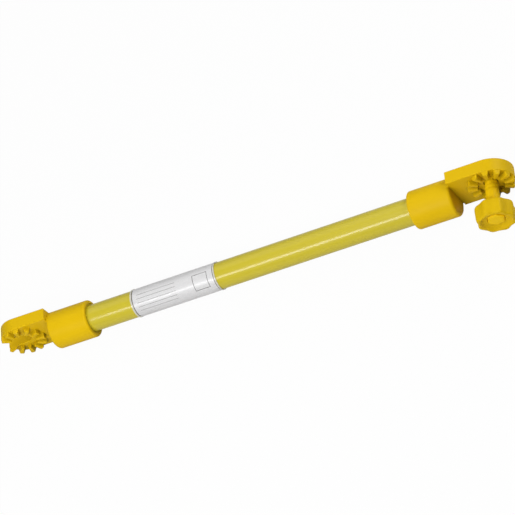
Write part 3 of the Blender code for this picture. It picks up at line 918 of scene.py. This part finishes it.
brass = turned_metal("turned_brass", brass_dark, brass_bright, roughness=0.28)
spring_steel = turned_metal("spring_steel", steel_dark, steel_bright, roughness=0.30)
mouth_down = Matrix.Rotation(math.pi / 2 + ring_gap / 2, 4, "Y")
set_down(insert_body(), "brass_insert", clamp_place, brass, "rod", "thread_insert")
ring_place = clamp_place @ mouth_down
set_down(ring_body(), "spring_ring", ring_place, spring_steel, "screw_carrier", "retaining_ring")


# Clamp screw
# Moulded in the yellow nylon, painted lighter than the heads' to lift the shade that the tongue and knob
# cast on it: a grooved tail, a coarse rounded thread, a plain neck and a hexagon head pressed into the
# knob. Heights are measured outward from the toothed face.
thread_pitch = 0.0030
thread_depth = 0.00025
thread_overlap = 0.0001
thread_section = [(0.00, 0), (0.20, 0), (0.38, 1), (0.80, 1), (1.00, 0)]
neck_radius = 0.0049
neck_start = 0.0070
neck_chamfer = 0.0003
neck_in_hexagon = 0.0006
screw_end = -0.0157
screw_end_round = 0.0006
groove_low, groove_high = -0.0145, -0.0128
groove_radius = 0.00375
hexagon_low, hexagon_high = 0.0260, 0.0308
hexagon_half_flat = 0.0060
hexagon_round = 0.0009
crown_width = 0.0016
crown_steps = (0.0004, 0.0001)
knob_rest_turn = math.radians(10)
# Painted light: the screw's nylon is lighter than the heads' to lift the shade it lies in between the
# tongue and the knob.
screw_lightened_dark = (0.86, 0.560, 0.003, 1)
screw_lightened_bright = (0.95, 0.630, 0.005, 1)
# Painted shade: how strongly the screw's corners and hollows are darkened.
screw_corner_shade = 0.10


def thread_body():
    """One pitch of a rounded thread screwed along the axis, cut square at both ends."""
    root = screw_radius - thread_depth
    turns = math.ceil((neck_start - groove_high) / thread_pitch) + 2
    start = -groove_high + thread_pitch - turns * thread_pitch
    points = []
    for share, crest in thread_section:
        points.append((screw_radius if crest else root, start + share * thread_pitch, 0))
    thread = drawn("thread", points)
    new_bench()
    bpy.context.view_layer.objects.active = thread
    helix = thread.modifiers.new("helix", "SCREW")
    helix.axis = "Y"
    helix.screw_offset = thread_pitch
    helix.iterations = turns + 1
    helix.steps = helix.render_steps = 64
    bpy.ops.object.modifier_apply(modifier=helix.name)
    edit(thread)
    bpy.ops.mesh.select_all(action="SELECT")
    bpy.ops.mesh.remove_doubles(threshold=merge_distance)
    for height, direction in ((-groove_high, 1), (-neck_start, -1)):
        bpy.ops.mesh.select_all(action="SELECT")
        bpy.ops.mesh.bisect(
            plane_co=(0, height, 0), plane_no=(0, direction, 0), use_fill=True, clear_outer=True,
            threshold=merge_distance / 10
        )
    bpy.ops.mesh.select_all(action="SELECT")
    bpy.ops.mesh.normals_make_consistent(inside=False)
    new_bench()
    return thread


def hexagon(half_flat, low, high):
    """Six-sided prism between two heights, turned with the knob."""
    new_bench()
    bpy.ops.mesh.primitive_cylinder_add(
        vertices=6, radius=half_flat / math.cos(math.pi / 6), depth=high - low,
        location=(0, -(low + high) / 2, 0), rotation=(math.pi / 2, 0, 0)
    )
    prism = bpy.context.object
    bpy.ops.object.transform_apply(location=True, rotation=True, scale=True)
    prism.data.transform(Matrix.Rotation(math.pi / 6 - knob_rest_turn, 4, "Y"))
    return prism


def screw_head():
    """Hexagon with rounded edges and a crown raised in two low steps."""
    flat_top = hexagon_high - sum(crown_steps)
    head = hexagon(hexagon_half_flat, hexagon_low, flat_top)
    edit(head)
    pick("FACE", lambda middle: middle.y < merge_distance - flat_top)
    for step in crown_steps:
        bpy.ops.mesh.inset(thickness=crown_width)
        bpy.ops.transform.translate(value=(0, -step, 0))
    pick_sharp_edges()
    bpy.ops.mesh.bevel(offset=hexagon_round, segments=5, affect="EDGES")
    new_bench()
    return head


def screw_body():
    """Tail, groove and neck turned about the axis, joined to the thread and the hexagon head."""
    core = screw_radius - thread_depth - thread_overlap
    neck_end = -hexagon_low - neck_in_hexagon
    end_centre = (screw_radius - screw_end_round, -screw_end - screw_end_round)
    profile = [(0, -screw_end)]
    profile += fillet(end_centre, screw_end_round, 90, 0)
    profile += [(screw_radius, -groove_low), (groove_radius, -groove_low), (groove_radius, -groove_high)]
    profile += [(core, -groove_high), (core, -neck_start + neck_chamfer), (neck_radius, -neck_start)]
    profile += [(neck_radius, neck_end), (0, neck_end)]
    screw = turned("screw", profile, steps=96, axis=(0, 1, 0))
    work(screw, thread_body(), "UNION")
    work(screw, screw_head(), "UNION")
    return screw


screw_nylon = moulded_nylon("screw_nylon", screw_lightened_dark, screw_lightened_bright, screw_corner_shade)
set_down(screw_body(), "screw_with_thread", clamp_place, screw_nylon, "clamp_knob", "clamp_screw")


# Star knob
# One nylon moulding pressed on the screw's head: eight soft lobes, a filleted hub toward the rod
# and a shallow dish outside. It starts as a coarse cage, lobe and valley by turns, and is smoothed.
lobe_count = 8
lobe_depth = 0.0007
pocket_gap = 0.0001
pocket_floor = hexagon_low - 0.0003
knob_dark = (0.67, 0.435, 0.002, 1)
knob_bright = (0.77, 0.505, 0.004, 1)
# Painted shade: how strongly the knob's corners and hollows are darkened.
knob_corner_shade = 0.10


def cage_radii(radius, share):
    """Lobe and valley radii of the cage whose smoothed ring reaches the wanted ones."""
    own = 2 / 3
    next_to_it = math.cos(math.pi / lobe_count) / 3
    lobe = radius + share * lobe_depth
    valley = radius - share * lobe_depth
    scale = own ** 2 - next_to_it ** 2
    return (own * lobe - next_to_it * valley) / scale, (own * valley - next_to_it * lobe) / scale


def knob_rings():
    """Rings from the bore round the hub, the wall and the rim to the dish floor.

    Each is (height from the toothed face, radius, share of the lobes), in millimetres.
    """
    bore = [(26.9, 5.2, 0), (21.0, 5.2, 0), (17.7, 5.2, 0)]
    hub = [(17.2, 5.3, 0), (17.1, 5.7, 0), (17.4, 5.95, 0)]
    underside = [(18.1, 6.4, 0), (18.45, 7.3, 0), (18.55, 8.6, 0), (18.6, 9.9, 0.1), (18.9, 11.4, 0.4)]
    shoulder = [(19.6, 12.9, 0.75), (21.0, 13.75, 0.95), (23.0, 13.95, 1)]
    wall = [(25.5, 13.9, 1), (28.5, 13.8, 1), (30.5, 13.75, 1), (31.7, 13.5, 1)]
    rim = [(32.2, 12.9, 0.9), (32.32, 12.1, 0.5), (32.22, 11.5, 0.15), (31.8, 11.0, 0)]
    dish = [(31.2, 10.4, 0), (30.5, 9.6, 0), (30.0, 8.8, 0), (29.75, 8.0, 0)]
    dish_floor = [(29.65, 7.2, 0), (29.6, 6.2, 0)]
    rings = bore + hub + underside + shoulder + wall + rim + dish + dish_floor
    return [(height / 1000, radius / 1000, share) for height, radius, share in rings]


def size_ring(lobe, valley):
    """Scale the lobe corners and the valley corners of the ring in hand to their radii."""
    shape = bmesh.from_edit_mesh(bpy.context.object.data)
    shape.verts.index_update()
    ring = [corner.index for corner in shape.verts if corner.select]
    for wanted, radius in ((0, lobe), (1, valley)):
        shape = bmesh.from_edit_mesh(bpy.context.object.data)
        shape.verts.ensure_lookup_table()
        bpy.ops.mesh.select_all(action="DESELECT")
        for index in ring:
            corner = shape.verts[index]
            angle = math.atan2(corner.co.z, corner.co.x) - knob_rest_turn
            if round(angle * lobe_count / math.pi) % 2 == wanted:
                corner.select_set(True)
                radius_now = math.hypot(corner.co.x, corner.co.z)
        bmesh.update_edit_mesh(bpy.context.object.data)
        growth = radius / radius_now
        bpy.ops.transform.resize(value=(growth, 1, growth), center_override=(0, 0, 0))
    shape = bmesh.from_edit_mesh(bpy.context.object.data)
    shape.verts.ensure_lookup_table()
    for index in ring:
        shape.verts[index].select_set(True)
    shape.select_flush_mode()
    bmesh.update_edit_mesh(bpy.context.object.data)


def knob_body():
    """Draw the cage out ring by ring, close it through the bore, smooth it and cut the pocket."""
    rings = knob_rings()
    height, radius, share = rings[0]
    lobe, valley = cage_radii(radius, share)
    new_bench()
    bpy.ops.mesh.primitive_circle_add(vertices=2 * lobe_count, radius=lobe, rotation=(math.pi / 2, 0, 0))
    knob = bpy.context.object
    bpy.ops.object.transform_apply(location=True, rotation=True, scale=True)
    knob.data.transform(Matrix.Translation((0, -height, 0)) @ Matrix.Rotation(-knob_rest_turn, 4, "Y"))
    bpy.ops.object.mode_set(mode="EDIT")
    bpy.ops.mesh.select_mode(type="VERT")
    bpy.ops.mesh.select_all(action="SELECT")
    for next_height, radius, share in rings[1:]:
        step = (0, height - next_height, 0)
        bpy.ops.mesh.extrude_region_move(TRANSFORM_OT_translate={"value": step})
        size_ring(*cage_radii(radius, share))
        height = next_height
    bpy.ops.mesh.select_all(action="DESELECT")
    bpy.ops.mesh.select_non_manifold()
    bpy.ops.mesh.bridge_edge_loops()
    bpy.ops.mesh.select_all(action="SELECT")
    bpy.ops.mesh.normals_make_consistent(inside=False)
    new_bench()
    bpy.context.view_layer.objects.active = knob
    smooth = knob.modifiers.new("smooth", "SUBSURF")
    smooth.levels = smooth.render_levels = 3
    bpy.ops.object.modifier_apply(modifier=smooth.name)
    work(knob, hexagon(hexagon_half_flat + pocket_gap, pocket_floor, 2 * hexagon_high), "DIFFERENCE")
    return knob


knob_nylon = moulded_nylon("knob_nylon", knob_dark, knob_bright, knob_corner_shade)
set_down(knob_body(), "lobed_knob", clamp_place, knob_nylon, "clamp_knob", "star_knob")
